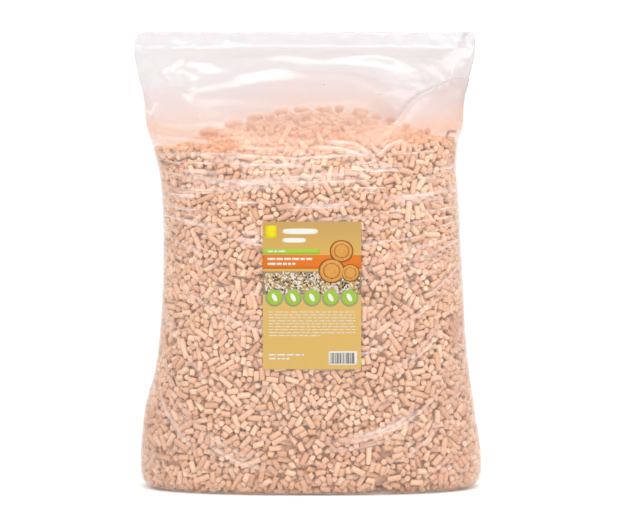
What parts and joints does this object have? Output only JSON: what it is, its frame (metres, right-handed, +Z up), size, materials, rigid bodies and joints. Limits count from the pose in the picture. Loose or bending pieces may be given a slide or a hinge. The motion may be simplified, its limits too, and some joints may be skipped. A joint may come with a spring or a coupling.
{
  "type": "cat litter bag",
  "caption": "Clear film sack with a welded top, filled with wood-pellet cat litter, with a paper label on its front.",
  "frame": {"origin": "on the flat base, under the middle of the bag, where it rests", "axes": "+Z up from the base to the welded top, -Y out of the front with the label, +X to the right of someone who faces the front"},
  "size_m": [0.374, 0.219, 0.489],
  "materials": {
    "film": "clear, slightly hazy low-density polyethylene film",
    "pellets": "pressed softwood sawdust, matt with a faint sheen on the extruded sides",
    "label": "semi-gloss printed paper"
  },
  "bodies": {
    "root": {"film_bag": "film", "pellet_bed": "pellets", "label": "label", "loose_pellet_01": "pellets", "loose_pellet_02": "pellets", "loose_pellet_03": "pellets", "loose_pellet_04": "pellets", "loose_pellet_05": "pellets", "loose_pellet_06": "pellets", "loose_pellet_07": "pellets", "loose_pellet_08": "pellets", "loose_pellet_09": "pellets", "loose_pellet_10": "pellets", "loose_pellet_11": "pellets", "loose_pellet_12": "pellets", "loose_pellet_13": "pellets", "loose_pellet_14": "pellets", "loose_pellet_15": "pellets", "loose_pellet_16": "pellets", "loose_pellet_17": "pellets", "loose_pellet_18": "pellets", "loose_pellet_19": "pellets", "loose_pellet_20": "pellets", "loose_pellet_21": "pellets", "loose_pellet_22": "pellets", "loose_pellet_23": "pellets", "loose_pellet_24": "pellets", "loose_pellet_25": "pellets", "loose_pellet_26": "pellets", "loose_pellet_27": "pellets", "loose_pellet_28": "pellets", "loose_pellet_29": "pellets", "loose_pellet_30": "pellets", "loose_pellet_31": "pellets", "loose_pellet_32": "pellets", "loose_pellet_33": "pellets", "loose_pellet_34": "pellets", "loose_pellet_35": "pellets", "loose_pellet_36": "pellets", "loose_pellet_37": "pellets", "loose_pellet_38": "pellets", "loose_pellet_39": "pellets", "loose_pellet_40": "pellets", "loose_pellet_41": "pellets", "loose_pellet_42": "pellets", "loose_pellet_43": "pellets", "loose_pellet_44": "pellets"}
  },
  "joints": []
}
